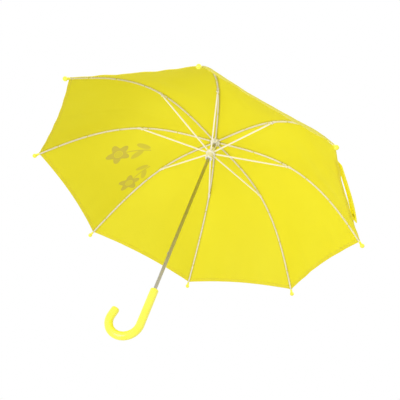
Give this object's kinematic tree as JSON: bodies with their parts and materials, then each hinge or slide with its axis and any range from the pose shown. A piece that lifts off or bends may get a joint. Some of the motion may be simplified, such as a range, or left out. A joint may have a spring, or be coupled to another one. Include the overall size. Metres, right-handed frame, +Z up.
{
  "type": "children's umbrella",
  "caption": "Open stick umbrella for a child, with a dome canopy on folding ribs, a sliding runner, ball tips and a crook handle.",
  "frame": {"origin": "on the shaft's axis at the top face of the crook handle, where the closed hand ends", "axes": "+Z up the shaft to the ferrule, +X the way the crook opens, +Y to complete a right-handed frame"},
  "size_m": [0.8418, 0.8418, 0.6561],
  "materials": {
    "shaft_steel": "bright plated steel tube",
    "handle_plastic": "moulded, glossy",
    "white_plastic": "moulded, satin to glossy",
    "ring_wire": "drawn wire",
    "yellow_plastic": "moulded, glossy",
    "strap_webbing": "hemmed cloth",
    "rib_paint": "baked enamel",
    "canopy_cloth": "thin woven polyester, let through by light"
  },
  "bodies": {
    "root": {"shaft_tube": "shaft_steel", "crook_handle": "handle_plastic", "crown": "white_plastic", "crown_wire": "ring_wire", "canopy_cap": "yellow_plastic", "ferrule": "yellow_plastic"},
    "rib_0": {"rib_0": "rib_paint", "canopy_inner_0": "canopy_cloth"},
    "rib_1": {"rib_1": "rib_paint", "canopy_inner_1": "canopy_cloth"},
    "rib_2": {"rib_2": "rib_paint", "canopy_inner_2": "canopy_cloth"},
    "rib_3": {"rib_3": "rib_paint", "canopy_inner_3": "canopy_cloth"},
    "rib_4": {"rib_4": "rib_paint", "canopy_inner_4": "canopy_cloth"},
    "rib_5": {"rib_5": "rib_paint", "canopy_inner_5": "canopy_cloth"},
    "rib_6": {"rib_6": "rib_paint", "canopy_inner_6": "canopy_cloth"},
    "rib_7": {"rib_7": "rib_paint", "canopy_inner_7": "canopy_cloth"},
    "outer_0": {"rib_outer_0": "rib_paint", "tip_0": "yellow_plastic", "canopy_outer_0": "canopy_cloth"},
    "outer_1": {"rib_outer_1": "rib_paint", "tip_1": "yellow_plastic", "canopy_outer_1": "canopy_cloth"},
    "outer_2": {"rib_outer_2": "rib_paint", "tip_2": "yellow_plastic", "canopy_outer_2": "canopy_cloth"},
    "outer_3": {"rib_outer_3": "rib_paint", "tip_3": "yellow_plastic", "canopy_outer_3": "canopy_cloth", "tie_strap": "strap_webbing"},
    "outer_4": {"rib_outer_4": "rib_paint", "tip_4": "yellow_plastic", "canopy_outer_4": "canopy_cloth"},
    "outer_5": {"rib_outer_5": "rib_paint", "tip_5": "yellow_plastic", "canopy_outer_5": "canopy_cloth"},
    "outer_6": {"rib_outer_6": "rib_paint", "tip_6": "yellow_plastic", "canopy_outer_6": "canopy_cloth"},
    "outer_7": {"rib_outer_7": "rib_paint", "tip_7": "yellow_plastic", "canopy_outer_7": "canopy_cloth"},
    "stretcher_0": {"stretcher_0": "rib_paint"},
    "stretcher_1": {"stretcher_1": "rib_paint"},
    "stretcher_2": {"stretcher_2": "rib_paint"},
    "stretcher_3": {"stretcher_3": "rib_paint"},
    "stretcher_4": {"stretcher_4": "rib_paint"},
    "stretcher_5": {"stretcher_5": "rib_paint"},
    "stretcher_6": {"stretcher_6": "rib_paint"},
    "stretcher_7": {"stretcher_7": "rib_paint"},
    "runner": {"runner_sleeve": "white_plastic", "runner_wire": "ring_wire"},
    "top_catch": {"top_catch": "ring_wire"},
    "bottom_catch": {"bottom_catch": "ring_wire"}
  },
  "joints": [
    {"name": "canopy_fold", "type": "hinge", "parent": "root", "child": "rib_0", "pos_m": [0.00939, 0.00142, 0.468], "axis": [-0.1495, 0.9888, 0], "range_deg": [0, 80.76], "deforming": ["canopy_inner_0"]},
    {"name": "rib_hinge_1", "type": "hinge", "parent": "root", "child": "rib_1", "pos_m": [0.00564, 0.00765, 0.468], "axis": [-0.8049, 0.5934, 0], "range_deg": [0, 80.76], "deforming": ["canopy_inner_1"]},
    {"name": "rib_hinge_2", "type": "hinge", "parent": "root", "child": "rib_2", "pos_m": [-0.00142, 0.00939, 0.468], "axis": [-0.9888, -0.1495, 0], "range_deg": [0, 80.76], "deforming": ["canopy_inner_2"]},
    {"name": "rib_hinge_3", "type": "hinge", "parent": "root", "child": "rib_3", "pos_m": [-0.00765, 0.00564, 0.468], "axis": [-0.5934, -0.8049, 0], "range_deg": [0, 80.76], "deforming": ["canopy_inner_3"]},
    {"name": "rib_hinge_4", "type": "hinge", "parent": "root", "child": "rib_4", "pos_m": [-0.00939, -0.00142, 0.468], "axis": [0.1495, -0.9888, 0], "range_deg": [0, 80.76], "deforming": ["canopy_inner_4"]},
    {"name": "rib_hinge_5", "type": "hinge", "parent": "root", "child": "rib_5", "pos_m": [-0.00564, -0.00765, 0.468], "axis": [0.8049, -0.5934, 0], "range_deg": [0, 80.76], "deforming": ["canopy_inner_5"]},
    {"name": "rib_hinge_6", "type": "hinge", "parent": "root", "child": "rib_6", "pos_m": [0.00142, -0.00939, 0.468], "axis": [0.9888, 0.1495, 0], "range_deg": [0, 80.76], "deforming": ["canopy_inner_6"]},
    {"name": "rib_hinge_7", "type": "hinge", "parent": "root", "child": "rib_7", "pos_m": [0.00765, -0.00564, 0.468], "axis": [0.5934, 0.8049, 0], "range_deg": [0, 80.76], "deforming": ["canopy_inner_7"]},
    {"name": "outer_hinge_0", "type": "hinge", "parent": "rib_0", "child": "outer_0", "pos_m": [0.19477, 0.02946, 0.4475], "axis": [-0.1495, 0.9888, 0], "range_deg": [-30.57, 0], "deforming": ["canopy_outer_0"]},
    {"name": "outer_hinge_1", "type": "hinge", "parent": "rib_1", "child": "outer_1", "pos_m": [0.11689, 0.15855, 0.4475], "axis": [-0.8049, 0.5934, 0], "range_deg": [-30.57, 0], "deforming": ["canopy_outer_1"]},
    {"name": "outer_hinge_2", "type": "hinge", "parent": "rib_2", "child": "outer_2", "pos_m": [-0.02946, 0.19477, 0.4475], "axis": [-0.9888, -0.1495, 0], "range_deg": [-30.57, 0], "deforming": ["canopy_outer_2"]},
    {"name": "outer_hinge_3", "type": "hinge", "parent": "rib_3", "child": "outer_3", "pos_m": [-0.15855, 0.11689, 0.4475], "axis": [-0.5934, -0.8049, 0], "range_deg": [-30.57, 0], "deforming": ["canopy_outer_3", "tie_strap"]},
    {"name": "outer_hinge_4", "type": "hinge", "parent": "rib_4", "child": "outer_4", "pos_m": [-0.19477, -0.02946, 0.4475], "axis": [0.1495, -0.9888, 0], "range_deg": [-30.57, 0], "deforming": ["canopy_outer_4"]},
    {"name": "outer_hinge_5", "type": "hinge", "parent": "rib_5", "child": "outer_5", "pos_m": [-0.11689, -0.15855, 0.4475], "axis": [0.8049, -0.5934, 0], "range_deg": [-30.57, 0], "deforming": ["canopy_outer_5"]},
    {"name": "outer_hinge_6", "type": "hinge", "parent": "rib_6", "child": "outer_6", "pos_m": [0.02946, -0.19477, 0.4475], "axis": [0.9888, 0.1495, 0], "range_deg": [-30.57, 0], "deforming": ["canopy_outer_6"]},
    {"name": "outer_hinge_7", "type": "hinge", "parent": "rib_7", "child": "outer_7", "pos_m": [0.15855, -0.11689, 0.4475], "axis": [0.5934, 0.8049, 0], "range_deg": [-30.57, 0], "deforming": ["canopy_outer_7"]},
    {"name": "stretcher_hinge_0", "type": "hinge", "parent": "rib_0", "child": "stretcher_0", "pos_m": [0.19477, 0.02946, 0.4475], "axis": [-0.1495, 0.9888, 0], "range_deg": [-161.53, 0]},
    {"name": "stretcher_hinge_1", "type": "hinge", "parent": "rib_1", "child": "stretcher_1", "pos_m": [0.11689, 0.15855, 0.4475], "axis": [-0.8049, 0.5934, 0], "range_deg": [-161.53, 0]},
    {"name": "stretcher_hinge_2", "type": "hinge", "parent": "rib_2", "child": "stretcher_2", "pos_m": [-0.02946, 0.19477, 0.4475], "axis": [-0.9888, -0.1495, 0], "range_deg": [-161.53, 0]},
    {"name": "stretcher_hinge_3", "type": "hinge", "parent": "rib_3", "child": "stretcher_3", "pos_m": [-0.15855, 0.11689, 0.4475], "axis": [-0.5934, -0.8049, 0], "range_deg": [-161.53, 0]},
    {"name": "stretcher_hinge_4", "type": "hinge", "parent": "rib_4", "child": "stretcher_4", "pos_m": [-0.19477, -0.02946, 0.4475], "axis": [0.1495, -0.9888, 0], "range_deg": [-161.53, 0]},
    {"name": "stretcher_hinge_5", "type": "hinge", "parent": "rib_5", "child": "stretcher_5", "pos_m": [-0.11689, -0.15855, 0.4475], "axis": [0.8049, -0.5934, 0], "range_deg": [-161.53, 0]},
    {"name": "stretcher_hinge_6", "type": "hinge", "parent": "rib_6", "child": "stretcher_6", "pos_m": [0.02946, -0.19477, 0.4475], "axis": [0.9888, 0.1495, 0], "range_deg": [-161.53, 0]},
    {"name": "stretcher_hinge_7", "type": "hinge", "parent": "rib_7", "child": "stretcher_7", "pos_m": [0.15855, -0.11689, 0.4475], "axis": [0.5934, 0.8049, 0], "range_deg": [-161.53, 0]},
    {"name": "runner_hinge", "type": "hinge", "parent": "stretcher_0", "child": "runner", "pos_m": [0.00939, 0.00142, 0.427], "axis": [-0.1495, 0.9888, 0], "range_deg": [0, 80.77]},
    {"name": "top_catch_press", "type": "hinge", "parent": "root", "child": "top_catch", "pos_m": [0, 0, 0.366], "axis": [0.5165, -0.8563, 0], "range_deg": [0, 3.2], "stiffness_Nm_per_rad": 0.05, "springref_deg": -2.86},
    {"name": "bottom_catch_press", "type": "hinge", "parent": "root", "child": "bottom_catch", "pos_m": [0, 0, 0.13702], "axis": [-0.5165, 0.8563, 0], "range_deg": [0, 3.2], "stiffness_Nm_per_rad": 0.05, "springref_deg": -2.86}
  ],
  "couplings": [
    {"joint": "rib_hinge_1", "follows": "canopy_fold", "ratio": 1},
    {"joint": "rib_hinge_2", "follows": "canopy_fold", "ratio": 1},
    {"joint": "rib_hinge_3", "follows": "canopy_fold", "ratio": 1},
    {"joint": "rib_hinge_4", "follows": "canopy_fold", "ratio": 1},
    {"joint": "rib_hinge_5", "follows": "canopy_fold", "ratio": 1},
    {"joint": "rib_hinge_6", "follows": "canopy_fold", "ratio": 1},
    {"joint": "rib_hinge_7", "follows": "canopy_fold", "ratio": 1},
    {"joint": "outer_hinge_0", "follows": "canopy_fold", "ratio": -0.3784},
    {"joint": "outer_hinge_1", "follows": "canopy_fold", "ratio": -0.3784},
    {"joint": "outer_hinge_2", "follows": "canopy_fold", "ratio": -0.3784},
    {"joint": "outer_hinge_3", "follows": "canopy_fold", "ratio": -0.3784},
    {"joint": "outer_hinge_4", "follows": "canopy_fold", "ratio": -0.3784},
    {"joint": "outer_hinge_5", "follows": "canopy_fold", "ratio": -0.3784},
    {"joint": "outer_hinge_6", "follows": "canopy_fold", "ratio": -0.3784},
    {"joint": "outer_hinge_7", "follows": "canopy_fold", "ratio": -0.3784},
    {"joint": "stretcher_hinge_0", "follows": "canopy_fold", "ratio": -2},
    {"joint": "stretcher_hinge_1", "follows": "canopy_fold", "ratio": -2},
    {"joint": "stretcher_hinge_2", "follows": "canopy_fold", "ratio": -2},
    {"joint": "stretcher_hinge_3", "follows": "canopy_fold", "ratio": -2},
    {"joint": "stretcher_hinge_4", "follows": "canopy_fold", "ratio": -2},
    {"joint": "stretcher_hinge_5", "follows": "canopy_fold", "ratio": -2},
    {"joint": "stretcher_hinge_6", "follows": "canopy_fold", "ratio": -2},
    {"joint": "stretcher_hinge_7", "follows": "canopy_fold", "ratio": -2},
    {"joint": "runner_hinge", "follows": "canopy_fold", "ratio": 1}
  ]
}
